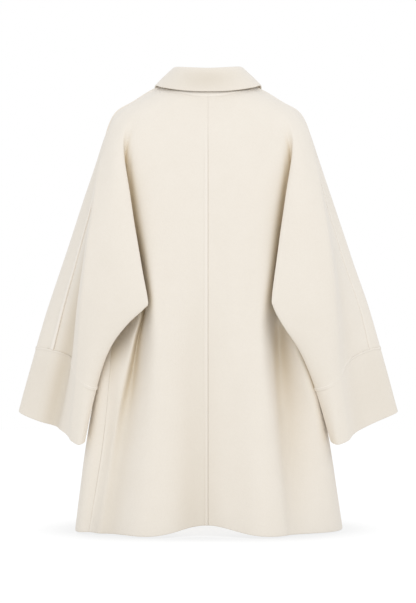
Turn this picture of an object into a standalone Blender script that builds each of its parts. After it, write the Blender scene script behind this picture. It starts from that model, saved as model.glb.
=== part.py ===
"""A loose wool coat with grown-on batwing sleeves, filled out and hanging from the shoulders.

Metres, +Z up. The wearer faces +Y, so the back of the coat faces -Y and +X is the wearer's right.
The origin is the middle of the neck opening at the height where the shoulders carry the coat.

The cloth is one smooth surface lofted over named fold and seam lines. It is cut along its seams into
the panels that a maker would sew, and each panel is a closed wall of cloth.
"""

import bpy
import numpy as np

# Driving dimensions
CLOTH = 0.0026          # thickness of the double-faced wool
COLLAR_CLOTH = 0.0030   # the collar's two layers pressed flat
SEAM_GAP = 0.0003       # between neighbouring panels at a seam
COLLAR_GAP = 0.0008     # between the collar's foot and the neck edge
FRONT_LAP = 0.020       # how far each front reaches past the centre front
LAP_LIFT = 0.0030       # the right front lies this far outside the middle, the left this far inside
SMOOTHING = 1           # subdivision levels of the panels
SETTLING = 4            # passes that bring the smooth surface onto the named lines
SETTLE_SHARE = 0.7      # of the way, each pass
SHARP_EDGE = np.radians(50)
CREAM = (0.86, 0.80, 0.71, 1.0)
WOOL_ROUGHNESS = 0.9

# The neck edge of the panels
NECK_HALF_WIDTH = 0.086
NECK_BACK = -0.078
NECK_FRONT = 0.068
NECK_BACK_DROP = 0.001
NECK_SIDE_RISE = 0.024
NECK_FRONT_DROP = -0.060

# Rows of the cage, counted from the neck down
NECK_ROW = 0
UNDERARM_ROW = 7
CUFF_SEAM_ROW = 11
LAST_ROW = 13

# Lines of a panel from its centre outward: before the valley they run down the body, after it down the sleeve
LINES = ("centre", "slope", "ridge", "turn", "lip", "rise", "valley",
         "under", "fold_in", "fold_out", "face", "crease", "trough", "overarm")
VALLEY = LINES.index("valley")
OVERARM = LINES.index("overarm")

# Each line of a back panel: row, outward, forward, height
BACK = {
    "centre": ((1, 0.000, -0.093, -0.050), (3, 0.000, -0.119, -0.150), (5, 0.000, -0.136, -0.290),
               (7, 0.000, -0.144, -0.420), (10, 0.000, -0.148, -0.620), (13, 0.000, -0.154, -0.846)),
    "slope": ((3, 0.046, -0.120, -0.150), (5, 0.047, -0.139, -0.290), (7, 0.048, -0.149, -0.420),
              (10, 0.052, -0.157, -0.620), (13, 0.055, -0.168, -0.856)),
    "ridge": ((3, 0.088, -0.119, -0.147), (5, 0.087, -0.139, -0.288), (7, 0.087, -0.149, -0.420),
              (10, 0.096, -0.164, -0.622), (13, 0.106, -0.182, -0.864)),
    "turn": ((3, 0.134, -0.1140, -0.128), (4, 0.132, -0.125, -0.206), (5, 0.1255, -0.134, -0.282),
             (7, 0.112, -0.147, -0.422), (8, 0.114, -0.139, -0.472), (10, 0.128, -0.144, -0.624),
             (13, 0.150, -0.168, -0.864)),
    "lip": ((2, 0.117, -0.0985, -0.066), (3, 0.148, -0.109, -0.112), (4, 0.149, -0.112, -0.188),
            (5, 0.142, -0.113, -0.272), (7, 0.132, -0.108, -0.426), (8, 0.139, -0.070, -0.476),
            (9, 0.142, -0.073, -0.552), (10, 0.148, -0.088, -0.626), (13, 0.172, -0.140, -0.864)),
    "rise": ((2, 0.126, -0.0945, -0.058), (3, 0.154, -0.105, -0.104), (4, 0.159, -0.104, -0.179),
             (5, 0.159, -0.103, -0.262), (7, 0.148, -0.066, -0.426), (8, 0.166, -0.104, -0.470),
             (9, 0.187, -0.112, -0.544), (10, 0.208, -0.106, -0.627), (13, 0.246, -0.090, -0.865)),
    "valley": ((2, 0.1335, -0.0900, -0.0515), (3, 0.158, -0.100, -0.098), (4, 0.166, -0.099, -0.170),
               (5, 0.173, -0.082, -0.250), (7, 0.187, -0.010, -0.414)),
    "under": ((2, 0.1395, -0.0855, -0.0465), (3, 0.161, -0.101, -0.093), (4, 0.164, -0.110, -0.164),
              (5, 0.161, -0.116, -0.240), (7, 0.167, -0.114, -0.413), (8, 0.186, -0.106, -0.446),
              (9, 0.206, -0.098, -0.488), (11, 0.230, -0.081, -0.576), (13, 0.252, -0.073, -0.680)),
    "fold_in": ((2, 0.145, -0.080, -0.042), (3, 0.164, -0.103, -0.088), (4, 0.160, -0.120, -0.160),
                (5, 0.149, -0.134, -0.238), (6, 0.1345, -0.146, -0.350), (7, 0.124, -0.151, -0.416),
                (8, 0.148, -0.143, -0.456), (9, 0.175, -0.129, -0.494), (11, 0.211, -0.101, -0.582),
                (13, 0.241, -0.088, -0.686)),
    "fold_out": ((2, 0.1505, -0.072, -0.0375), (3, 0.169, -0.102, -0.083), (4, 0.161, -0.130, -0.155),
                 (5, 0.149, -0.147, -0.235), (6, 0.1345, -0.159, -0.347), (7, 0.124, -0.163, -0.413),
                 (8, 0.149, -0.157, -0.453), (9, 0.177, -0.143, -0.494), (11, 0.214, -0.119, -0.584),
                 (13, 0.244, -0.106, -0.690)),
    "face": ((3, 0.181, -0.085, -0.073), (4, 0.182, -0.127, -0.140), (5, 0.184, -0.146, -0.212),
             (7, 0.186, -0.159, -0.374), (9, 0.219, -0.146, -0.474), (11, 0.238, -0.129, -0.576),
             (13, 0.255, -0.120, -0.692)),
    "crease": ((3, 0.192, -0.060, -0.064), (5, 0.221, -0.118, -0.200), (7, 0.240, -0.136, -0.346),
               (9, 0.251, -0.128, -0.452), (11, 0.260, -0.115, -0.560), (13, 0.277, -0.106, -0.684)),
    "trough": ((1, 0.121, -0.018, 0.000), (2, 0.155, -0.025, -0.023), (3, 0.190, -0.036, -0.053),
               (5, 0.224, -0.078, -0.194), (7, 0.252, -0.090, -0.332), (9, 0.267, -0.086, -0.434),
               (11, 0.278, -0.078, -0.528), (13, 0.297, -0.074, -0.668)),
}
# The same for a front panel
FRONT = {
    "centre": ((3, -FRONT_LAP, 0.110, -0.180), (5, -FRONT_LAP, 0.132, -0.300), (7, -FRONT_LAP, 0.140, -0.420),
               (10, -FRONT_LAP, 0.149, -0.620), (13, -FRONT_LAP, 0.160, -0.858)),
    "slope": ((3, 0.038, 0.110, -0.176), (5, 0.044, 0.132, -0.298), (7, 0.046, 0.140, -0.420),
              (10, 0.050, 0.149, -0.620), (13, 0.054, 0.160, -0.860)),
    "ridge": ((3, 0.086, 0.104, -0.164), (5, 0.086, 0.128, -0.292), (7, 0.089, 0.140, -0.420),
              (10, 0.098, 0.156, -0.622), (13, 0.110, 0.174, -0.864)),
    "turn": ((3, 0.122, 0.093, -0.142), (5, 0.117, 0.117, -0.284), (7, 0.120, 0.122, -0.422),
             (10, 0.142, 0.134, -0.624), (13, 0.164, 0.154, -0.864)),
    "lip": ((3, 0.146, 0.078, -0.118), (5, 0.142, 0.094, -0.272), (7, 0.146, 0.092, -0.424),
            (10, 0.182, 0.104, -0.626), (13, 0.214, 0.122, -0.864)),
    "rise": ((3, 0.156, 0.069, -0.110), (5, 0.162, 0.073, -0.260), (7, 0.150, 0.046, -0.426),
             (8, 0.168, 0.048, -0.476), (10, 0.220, 0.056, -0.627), (13, 0.250, 0.068, -0.865)),
    "valley": ((3, 0.163, 0.062, -0.104), (5, 0.176, 0.050, -0.248), (7, 0.187, -0.010, -0.414)),
    "under": ((3, 0.168, 0.057, -0.098), (5, 0.166, 0.082, -0.236), (7, 0.180, 0.076, -0.402),
              (9, 0.212, 0.042, -0.470), (11, 0.236, 0.022, -0.546), (13, 0.262, 0.020, -0.652)),
    "fold_in": ((3, 0.172, 0.054, -0.093), (5, 0.152, 0.098, -0.232), (7, 0.146, 0.106, -0.402),
                (9, 0.206, 0.066, -0.464), (11, 0.234, 0.042, -0.540), (13, 0.264, 0.038, -0.646)),
    "fold_out": ((3, 0.177, 0.050, -0.087), (5, 0.154, 0.111, -0.226), (7, 0.150, 0.120, -0.396),
                 (9, 0.210, 0.080, -0.458), (11, 0.242, 0.056, -0.534), (13, 0.272, 0.050, -0.640)),
    "face": ((3, 0.185, 0.040, -0.076), (5, 0.192, 0.108, -0.214), (7, 0.202, 0.108, -0.372),
             (9, 0.236, 0.082, -0.444), (11, 0.267, 0.062, -0.526), (13, 0.298, 0.055, -0.634)),
    "crease": ((3, 0.195, 0.025, -0.062), (5, 0.232, 0.072, -0.200), (7, 0.260, 0.070, -0.346),
               (9, 0.286, 0.056, -0.430), (11, 0.312, 0.042, -0.514), (13, 0.346, 0.036, -0.628)),
    "trough": ((1, 0.121, 0.008, -0.003), (2, 0.157, 0.008, -0.027), (3, 0.194, 0.005, -0.052),
               (4, 0.220, 0.009, -0.119), (5, 0.247, 0.012, -0.194), (7, 0.290, 0.010, -0.325),
               (9, 0.321, 0.004, -0.417), (11, 0.346, -0.004, -0.505), (13, 0.381, -0.006, -0.632)),
}
# The shoulder and overarm seam, which rolls farther back on the left sleeve
OVERARM_SEAM = {
    "left": ((1, 0.122, -0.003, 0.006), (2, 0.158, -0.005, -0.017), (3, 0.189, -0.009, -0.040),
             (5, 0.222, -0.034, -0.190), (7, 0.257, -0.048, -0.328), (9, 0.284, -0.050, -0.424),
             (11, 0.306, -0.047, -0.508), (13, 0.342, -0.038, -0.649)),
    "right": ((1, 0.122, -0.003, 0.006), (2, 0.158, -0.005, -0.017), (3, 0.189, -0.009, -0.040),
              (5, 0.228, -0.026, -0.190), (7, 0.268, -0.034, -0.328), (9, 0.300, -0.036, -0.422),
              (11, 0.321, -0.036, -0.507), (13, 0.352, -0.034, -0.645)),
}
# The side seam, which sits farther back on the left, and the underarm seam
SIDE_SEAM = {
    "left": ((7, 0.187, -0.010, -0.414), (8, 0.188, -0.016, -0.454), (9, 0.190, -0.098, -0.518),
             (10, 0.198, -0.102, -0.628), (13, 0.233, -0.100, -0.864)),
    "right": ((7, 0.187, -0.010, -0.414), (8, 0.191, -0.012, -0.466), (9, 0.212, -0.060, -0.542),
              (10, 0.229, -0.052, -0.628), (13, 0.268, -0.010, -0.865)),
}
UNDERARM_SEAM = ((7, 0.187, -0.010, -0.414), (8, 0.211, -0.016, -0.438), (9, 0.229, -0.022, -0.480),
                 (11, 0.246, -0.022, -0.562), (13, 0.266, -0.020, -0.666))
# Lines whose lower ends lie elsewhere on the left, where a pleat comes out under the sleeve
LEFT_BACK = {
    "lip": ((7, 0.1245, -0.094, -0.426), (8, 0.138, -0.087, -0.476), (9, 0.154, -0.090, -0.552),
            (10, 0.168, -0.103, -0.626), (13, 0.196, -0.128, -0.864)),
    "rise": ((7, 0.135, -0.110, -0.428), (8, 0.146, -0.114, -0.476), (9, 0.159, -0.119, -0.552),
             (10, 0.175, -0.119, -0.627), (13, 0.214, -0.126, -0.864)),
    "under": ((9, 0.206, -0.100, -0.488), (11, 0.231, -0.090, -0.576), (13, 0.252, -0.088, -0.680)),
    "fold_in": ((6, 0.132, -0.146, -0.350), (7, 0.1165, -0.151, -0.419), (8, 0.150, -0.143, -0.447),
                (9, 0.184, -0.130, -0.488), (11, 0.218, -0.108, -0.580), (13, 0.241, -0.102, -0.686)),
    "fold_out": ((6, 0.132, -0.159, -0.347), (7, 0.1165, -0.163, -0.416), (8, 0.151, -0.157, -0.444),
                 (9, 0.186, -0.143, -0.488), (11, 0.221, -0.124, -0.582), (13, 0.244, -0.118, -0.690)),
    "crease": ((11, 0.258, -0.115, -0.560), (13, 0.270, -0.106, -0.684)),
    "trough": ((11, 0.275, -0.078, -0.528), (13, 0.289, -0.074, -0.668)),
}
LEFT_FRONT = {
    "lip": ((8, 0.162, 0.086, -0.474), (10, 0.206, 0.074, -0.626), (13, 0.246, 0.080, -0.864)),
    "rise": ((8, 0.184, 0.022, -0.474), (9, 0.213, -0.066, -0.545), (10, 0.2295, -0.080, -0.627),
             (13, 0.262, -0.076, -0.865)),
}

# Lines that are pressed sharp: line, first and last row, how sharply on the left and on the right
PRESSED = (
    ("crease", 4, 13, 0.62, 0.36),
    ("fold_out", 5, 9, 0.30, 0.30),
    ("rise", 8, 10, 0.20, 0.00),
)
# Corners of the back folds that are pinched: line, row, how sharply
PINCHED = (
    ("fold_in", 7, 0.5),
    ("fold_out", 7, 0.5),
)

# The collar from the centre back to the centre front, mirrored: share of the way round, then the top of its
# roll and its lower edge, each as outward, forward, height
COLLAR = (
    (0.000, 0.0000, -0.0820, 0.0440, 0.0000, -0.0840, 0.0010),
    (0.125, 0.0295, -0.0750, 0.0460, 0.0380, -0.0785, 0.0025),
    (0.250, 0.0535, -0.0560, 0.0495, 0.0712, -0.0596, 0.0078),
    (0.375, 0.0635, -0.0275, 0.0525, 0.0950, -0.0322, 0.0143),
    (0.500, 0.0655, 0.0010, 0.0520, 0.1050, 0.0010, 0.0188),
    (0.625, 0.0625, 0.0275, 0.0405, 0.1055, 0.0350, 0.0045),
    (0.750, 0.0495, 0.0495, 0.0190, 0.0940, 0.0640, -0.0320),
    (0.875, 0.0240, 0.0620, -0.0090, 0.0720, 0.0850, -0.0720),
    (0.990, 0.0030, 0.0680, -0.0300, 0.0400, 0.0990, -0.1080),
)
ROLL_RADIUS = 0.0065    # of the collar's fold
ROLL_SINK = 0.6         # how far the sides of the fold lie under its top, in radii
FALL_BOW = 0.0012       # how far the fall bows outward
STAND_LEAN = 0.12       # height over the neck edge of the point that the stand leans toward


def along(keys, row):
    """A smooth line through keys (row, x, y, z), at any row between the first and the last."""
    rows = np.array([key[0] for key in keys], float)
    points = np.array([key[1:] for key in keys], float)
    slopes = np.gradient(points, rows, axis=0)
    i = int(np.clip(np.searchsorted(rows, row) - 1, 0, len(rows) - 2))
    step = rows[i + 1] - rows[i]
    t = (row - rows[i]) / step
    return ((2 * t**3 - 3 * t**2 + 1) * points[i] + (t**3 - 2 * t**2 + t) * step * slopes[i]
            + (3 * t**2 - 2 * t**3) * points[i + 1] + (t**3 - t**2) * step * slopes[i + 1])


def neck_point(share, front):
    """A point of the neck edge, share of the way from the centre back or front to the shoulder."""
    turn = np.pi / 2 * share
    drop, depth = (NECK_FRONT_DROP, NECK_FRONT) if front else (NECK_BACK_DROP, NECK_BACK)
    height = drop + (NECK_SIDE_RISE - drop) * (1 - np.cos(turn))
    return NECK_HALF_WIDTH * np.sin(turn), depth * np.cos(turn), height


def line_keys(side, front, line):
    """The keys of one line of a panel, from the neck edge down."""
    name = LINES[line]
    start = neck_point(line / OVERARM, front)
    if front and line == 0:
        start = (-FRONT_LAP, *start[1:])
    if name == "overarm":
        return ((NECK_ROW, *start), *OVERARM_SEAM[side])
    keys = (FRONT if front else BACK)[name]
    changed = (LEFT_FRONT if front else LEFT_BACK).get(name) if side == "left" else None
    if changed:
        keys = (*(key for key in keys if key[0] < changed[0][0]), *changed)
    return ((NECK_ROW, *start), *keys)


class Cage:
    """The coarse quads that a cloth surface is smoothed from, with each face's panel."""

    def __init__(self):
        self.points, self.index, self.faces, self.panels = [], {}, [], []
        self.pressed, self.pinched = {}, {}

    def point(self, key, place):
        if key not in self.index:
            self.index[key] = len(self.points)
            self.points.append(place)
        return self.index[key]

    def quad(self, corners, panel, flip):
        self.faces.append(corners[::-1] if flip else corners)
        self.panels.append(panel)


def panel_point(cage, side, front, line, row, branch):
    """The cage's point on a line, shared where panels meet."""
    sign = 1 if side == "right" else -1
    owner = (side, front, line)
    keys = None
    if line == VALLEY and row >= UNDERARM_ROW:
        owner = (side, "armpit" if row == UNDERARM_ROW else branch)
        keys = UNDERARM_SEAM if branch == "sleeve" else SIDE_SEAM[side]
    elif line == OVERARM:
        owner = (side, "overarm")
    elif line == 0 and not front:
        owner = ("centre back",)
    x, y, z = along(keys or line_keys(side, front, line), row)
    if front and line <= 1:
        y += LAP_LIFT * sign
    return cage.point((*owner, row), (sign * x, y, z))


def panels_cage():
    """The cage of the whole coat but the collar."""
    cage = Cage()
    above, below = range(UNDERARM_ROW), range(UNDERARM_ROW, LAST_ROW)
    spans = [(line, row, "body") for row in above for line in range(OVERARM)]
    spans += [(line, row, "body") for row in below for line in range(VALLEY)]
    spans += [(line, row, "sleeve") for row in below for line in range(VALLEY, OVERARM)]
    for side in ("left", "right"):
        for front in (False, True):
            panel = ("front_" if front else "back_") + side
            for line, row, branch in spans:
                corners = [panel_point(cage, side, front, line + i, row + j, branch)
                           for i, j in ((0, 0), (0, 1), (1, 1), (1, 0))]
                cuff = branch == "sleeve" and row >= CUFF_SEAM_ROW
                cage.quad(corners, "cuff_" + side if cuff else panel, (side == "right") == front)
            for name, first, last, left, right in PRESSED:
                ends = [cage.index[side, front, LINES.index(name), row] for row in range(first, last + 1)]
                for pair in zip(ends, ends[1:]):
                    cage.pressed[frozenset(pair)] = left if side == "left" else right
        for name, row, sharpness in PINCHED:
            cage.pinched[cage.index[side, False, LINES.index(name), row]] = sharpness
    return cage


def collar_section(sign, station, points, normals):
    """The collar's face at one station, from its foot on the neck edge over the roll to its lower edge."""
    share = station[0] * 2
    neck = np.array(neck_point(share, False) if share <= 1 else neck_point(2 - share, True))
    roll, edge = np.array(station[1:4]), np.array(station[4:7])
    for place in (neck, roll, edge):
        place[0] *= sign
    normal = normals[np.argmin(np.linalg.norm(points - neck, axis=1))]
    up = np.array((-neck[0], -neck[1], STAND_LEAN))
    up -= up @ normal * normal
    gap = COLLAR_GAP + LAP_LIFT * max(0, share - 1) ** 2
    foot = neck - CLOTH * normal + gap * up / np.linalg.norm(up)
    out = neck / (NECK_HALF_WIDTH, NECK_FRONT, np.inf)
    out /= np.linalg.norm(out)
    sink = np.array((0, 0, -ROLL_SINK * ROLL_RADIUS))
    inside, outside = roll - out * ROLL_RADIUS + sink, roll + out * ROLL_RADIUS + sink
    bow = FALL_BOW * (out + (0, 0, 1)) / np.sqrt(2)
    return (foot, (foot + inside) / 2, inside, roll, outside, (outside + edge) / 2 + bow, edge)


def collar_cage(points, normals):
    cage = Cage()
    stations = [(-1, s) for s in COLLAR[:0:-1]] + [(1, s) for s in COLLAR]
    sections = [collar_section(sign, station, points, normals) for sign, station in stations]
    for i, section in enumerate(sections):
        for j, place in enumerate(section):
            cage.point((i, j), place)
    for i in range(len(sections) - 1):
        for j in range(len(sections[0]) - 1):
            corners = [cage.index[key] for key in ((i, j), (i, j + 1), (i + 1, j + 1), (i + 1, j))]
            cage.quad(corners, "collar", True)
    return cage


def evaluated(guide):
    """The mesh of an object with its modifiers applied."""
    bpy.context.view_layer.update()
    return bpy.data.meshes.new_from_object(guide.evaluated_get(bpy.context.evaluated_depsgraph_get()))


def smooth_surface(cage):
    """The cage's smooth surface: points, normals, faces, each face's panel number and the panels' names."""
    names = sorted(set(cage.panels))
    mesh = bpy.data.meshes.new("cage")
    mesh.from_pydata(cage.points, [], cage.faces)
    for name in names:
        mesh.materials.append(bpy.data.materials.new(name))
    mesh.polygons.foreach_set("material_index", [names.index(p) for p in cage.panels])
    press = mesh.attributes.new("crease_edge", "FLOAT", "EDGE")
    press.data.foreach_set("value", [cage.pressed.get(frozenset(e.vertices), 0) for e in mesh.edges])
    pinch = mesh.attributes.new("crease_vert", "FLOAT", "POINT")
    pinch.data.foreach_set("value", [cage.pinched.get(i, 0) for i in range(len(cage.points))])
    guide = bpy.data.objects.new("cage", mesh)
    bpy.context.scene.collection.objects.link(guide)
    subdivision = guide.modifiers.new("smooth", "SUBSURF")
    subdivision.levels = subdivision.render_levels = SMOOTHING
    aims = np.array(cage.points)
    corners = aims.copy()
    for _ in range(SETTLING):
        reached = np.array([v.co for v in evaluated(guide).vertices[:len(aims)]])
        corners += SETTLE_SHARE * (aims - reached)
        mesh.vertices.foreach_set("co", corners.ravel())
        mesh.update()
    smooth = evaluated(guide)
    points = np.array([v.co for v in smooth.vertices])
    normals = np.array([v.normal for v in smooth.vertices])
    faces = np.array([p.vertices[:] for p in smooth.polygons])
    panels = np.array([p.material_index for p in smooth.polygons])
    bpy.data.objects.remove(guide)
    return points, normals, faces, panels, names


def rim_edges(faces):
    """The directed edges that only one face has."""
    edges = np.concatenate([np.stack([faces[:, i], faces[:, (i + 1) % 4]], 1) for i in range(4)])
    there = {tuple(e) for e in edges}
    return [e for e in map(tuple, edges) if e[::-1] not in there]


def halved(points, faces):
    """Each quad as two triangles, split along its shorter diagonal."""
    a, b, c, d = faces.T
    across = np.linalg.norm(points[a] - points[c], axis=1) <= np.linalg.norm(points[b] - points[d], axis=1)
    first = np.where(across, (a, b, c), (a, b, d))
    second = np.where(across, (a, c, d), (b, c, d))
    return np.concatenate([first.T, second.T])


def wall(points, normals, faces, thickness, gap):
    """A closed wall of cloth under a sheet, drawn back from its seams by half a gap."""
    used, faces = np.unique(faces, return_inverse=True)
    faces = faces.reshape(-1, 4)
    points, normals = points[used].copy(), normals[used]
    rim = rim_edges(faces)
    pull = np.zeros_like(points)
    for a, b in rim:
        inward = np.cross(normals[a] + normals[b], points[b] - points[a])
        inward /= np.linalg.norm(inward)
        pull[a] += inward
        pull[b] += inward
    length = np.linalg.norm(pull, axis=1, keepdims=True)
    points += gap / 2 * np.divide(pull, length, out=np.zeros_like(pull), where=length > 0)
    inner = points - thickness * normals
    count = len(points)
    both = np.concatenate([points, inner])
    outer_faces = halved(points, faces)
    rim_faces = halved(both, np.array([(b, a, a + count, b + count) for a, b in rim]))
    return both, np.concatenate([outer_faces, outer_faces[:, ::-1] + count, rim_faces])


def add_piece(name, points, faces, collection, material):
    mesh = bpy.data.meshes.new(name)
    mesh.from_pydata([tuple(p) for p in points], [], [list(map(int, f)) for f in faces])
    mesh.materials.append(material)
    mesh.shade_smooth()
    mesh.set_sharp_from_angle(angle=SHARP_EDGE)
    collection.objects.link(bpy.data.objects.new(name, mesh))


def wool(name):
    material = bpy.data.materials.new(name)
    material.use_nodes = True
    shader = material.node_tree.nodes["Principled BSDF"]
    shader.inputs["Base Color"].default_value = CREAM
    shader.inputs["Roughness"].default_value = WOOL_ROUGHNESS
    shader.inputs["Metallic"].default_value = 0.0
    return material


def main():
    for old in list(bpy.data.objects):
        bpy.data.objects.remove(old)
    coat = bpy.data.collections.new("coat")
    bpy.context.scene.collection.children.link(coat)
    cloth = wool("cream_wool")
    points, normals, faces, panels, names = smooth_surface(panels_cage())
    for number, name in enumerate(names):
        add_piece(name, *wall(points, normals, faces[panels == number], CLOTH, SEAM_GAP), coat, cloth)
    points, normals, faces, _, _ = smooth_surface(collar_cage(points, normals))
    add_piece("collar", *wall(points, normals, faces, COLLAR_CLOTH, 0), coat, cloth)


main()
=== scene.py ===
"""The looks of a loose cream coat in double-faced wool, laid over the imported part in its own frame.

Metres, +Z up. The wearer faces +Y, so the back of the coat faces -Y and +X is the wearer's right.
The cloth follows the part's own fold and seam lines, finer than its solids, with felled seams, soft
creases and rounded edges. Each panel, cuff and the collar is a thin closed sheet of cloth.
"""

import bpy
import numpy as np
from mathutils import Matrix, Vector, noise


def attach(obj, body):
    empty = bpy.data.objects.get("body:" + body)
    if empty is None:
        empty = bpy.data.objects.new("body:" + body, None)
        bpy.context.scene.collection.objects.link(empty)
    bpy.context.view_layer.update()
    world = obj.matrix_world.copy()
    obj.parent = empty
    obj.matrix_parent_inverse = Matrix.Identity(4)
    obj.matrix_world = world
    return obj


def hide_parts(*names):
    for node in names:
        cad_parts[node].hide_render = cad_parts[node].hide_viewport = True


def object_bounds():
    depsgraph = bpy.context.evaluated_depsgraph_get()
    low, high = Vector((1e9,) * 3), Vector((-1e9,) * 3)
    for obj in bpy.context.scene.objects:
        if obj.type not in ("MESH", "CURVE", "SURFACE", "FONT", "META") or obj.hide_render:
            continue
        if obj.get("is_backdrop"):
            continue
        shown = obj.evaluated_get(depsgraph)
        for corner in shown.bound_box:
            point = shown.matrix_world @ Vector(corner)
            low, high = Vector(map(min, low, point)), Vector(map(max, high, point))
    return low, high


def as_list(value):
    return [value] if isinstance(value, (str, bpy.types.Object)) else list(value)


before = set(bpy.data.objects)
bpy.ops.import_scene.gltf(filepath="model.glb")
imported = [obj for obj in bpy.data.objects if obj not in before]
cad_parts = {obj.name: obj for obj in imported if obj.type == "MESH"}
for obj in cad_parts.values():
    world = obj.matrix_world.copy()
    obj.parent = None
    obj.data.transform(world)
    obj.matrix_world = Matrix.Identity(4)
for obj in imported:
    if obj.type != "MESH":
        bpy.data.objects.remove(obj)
part_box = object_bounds()

# The cloth
CLOTH = 0.0026          # thickness of the double-faced wool
COLLAR_CLOTH = 0.0030   # the collar's two layers pressed flat
COLLAR_GAP = 0.0008     # between the collar's foot and the neck edge
FRONT_LAP = 0.020       # how far each front reaches past the centre front
LAP_LIFT = 0.0030       # the right front lies this far outside the middle, the left this far inside
SETTLING = 4            # passes that bring the smooth surface onto the named lines
SETTLE_SHARE = 0.7      # of the way, each pass
GUIDE_LEVEL = 5         # subdivision of the smooth surface that the cloth is laid on
CELLS = 16              # cells of cloth across each cell of the cage
CROWDING = 1.9          # how strongly the cells crowd toward seams and edges
FAR = 0.1               # stands for any distance too far from a seam to matter
TINY = 1e-12            # keeps a length above zero

# The neck edge of the panels
NECK_HALF_WIDTH = 0.086
NECK_BACK = -0.078
NECK_FRONT = 0.068
NECK_BACK_DROP = 0.001
NECK_SIDE_RISE = 0.024
NECK_FRONT_DROP = -0.060

# Rows of the cage, counted from the neck down
NECK_ROW = 0
UNDERARM_ROW = 7
CUFF_SEAM_ROW = 11
LAST_ROW = 13

# Lines of a panel from its centre outward: before the valley they run down the body, after it the sleeve
LINES = ("centre", "slope", "ridge", "turn", "lip", "rise", "valley",
         "under", "fold_in", "fold_out", "face", "crease", "trough", "overarm")
VALLEY = LINES.index("valley")
OVERARM = LINES.index("overarm")

# Each line of a back panel: row, outward, forward, height
BACK = {
    "centre": ((1, 0.000, -0.093, -0.050), (3, 0.000, -0.119, -0.150), (5, 0.000, -0.136, -0.290),
               (7, 0.000, -0.144, -0.420), (10, 0.000, -0.148, -0.620), (13, 0.000, -0.154, -0.846)),
    "slope": ((3, 0.046, -0.120, -0.150), (5, 0.047, -0.139, -0.290), (7, 0.048, -0.149, -0.420),
              (10, 0.052, -0.157, -0.620), (13, 0.055, -0.168, -0.856)),
    "ridge": ((3, 0.088, -0.119, -0.147), (5, 0.087, -0.139, -0.288), (7, 0.087, -0.149, -0.420),
              (10, 0.096, -0.164, -0.622), (13, 0.106, -0.182, -0.864)),
    "turn": ((3, 0.134, -0.1140, -0.128), (4, 0.132, -0.125, -0.206), (5, 0.1255, -0.134, -0.282),
             (7, 0.112, -0.147, -0.422), (8, 0.114, -0.139, -0.472), (10, 0.128, -0.144, -0.624),
             (13, 0.150, -0.168, -0.864)),
    "lip": ((2, 0.117, -0.0985, -0.066), (3, 0.148, -0.109, -0.112), (4, 0.149, -0.112, -0.188),
            (5, 0.142, -0.113, -0.272), (7, 0.132, -0.108, -0.426), (8, 0.139, -0.070, -0.476),
            (9, 0.142, -0.073, -0.552), (10, 0.148, -0.088, -0.626), (13, 0.172, -0.140, -0.864)),
    "rise": ((2, 0.126, -0.0945, -0.058), (3, 0.154, -0.105, -0.104), (4, 0.159, -0.104, -0.179),
             (5, 0.159, -0.103, -0.262), (7, 0.148, -0.066, -0.426), (8, 0.166, -0.104, -0.470),
             (9, 0.187, -0.112, -0.544), (10, 0.208, -0.106, -0.627), (13, 0.246, -0.090, -0.865)),
    "valley": ((2, 0.1335, -0.0900, -0.0515), (3, 0.158, -0.100, -0.098), (4, 0.166, -0.099, -0.170),
               (5, 0.173, -0.082, -0.250), (7, 0.187, -0.010, -0.414)),
    "under": ((2, 0.1395, -0.0855, -0.0465), (3, 0.161, -0.101, -0.093), (4, 0.164, -0.110, -0.164),
              (5, 0.161, -0.116, -0.240), (7, 0.167, -0.114, -0.413), (8, 0.186, -0.106, -0.446),
              (9, 0.206, -0.098, -0.488), (11, 0.230, -0.081, -0.576), (13, 0.252, -0.073, -0.680)),
    "fold_in": ((2, 0.145, -0.080, -0.042), (3, 0.164, -0.103, -0.088), (4, 0.160, -0.120, -0.160),
                (5, 0.149, -0.134, -0.238), (6, 0.1345, -0.146, -0.350), (7, 0.124, -0.151, -0.416),
                (8, 0.148, -0.143, -0.456), (9, 0.175, -0.129, -0.494), (11, 0.211, -0.101, -0.582),
                (13, 0.241, -0.088, -0.686)),
    "fold_out": ((2, 0.1505, -0.072, -0.0375), (3, 0.169, -0.102, -0.083), (4, 0.161, -0.130, -0.155),
                 (5, 0.149, -0.147, -0.235), (6, 0.1345, -0.159, -0.347), (7, 0.124, -0.163, -0.413),
                 (8, 0.149, -0.157, -0.453), (9, 0.177, -0.143, -0.494), (11, 0.214, -0.119, -0.584),
                 (13, 0.244, -0.106, -0.690)),
    "face": ((3, 0.181, -0.085, -0.073), (4, 0.182, -0.127, -0.140), (5, 0.184, -0.146, -0.212),
             (7, 0.186, -0.159, -0.374), (9, 0.219, -0.146, -0.474), (11, 0.238, -0.129, -0.576),
             (13, 0.255, -0.120, -0.692)),
    "crease": ((3, 0.192, -0.060, -0.064), (5, 0.221, -0.118, -0.200), (7, 0.240, -0.136, -0.346),
               (9, 0.251, -0.128, -0.452), (11, 0.260, -0.115, -0.560), (13, 0.277, -0.106, -0.684)),
    "trough": ((1, 0.121, -0.018, 0.000), (2, 0.155, -0.025, -0.023), (3, 0.190, -0.036, -0.053),
               (5, 0.224, -0.078, -0.194), (7, 0.252, -0.090, -0.332), (9, 0.267, -0.086, -0.434),
               (11, 0.278, -0.078, -0.528), (13, 0.297, -0.074, -0.668)),
}
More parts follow.
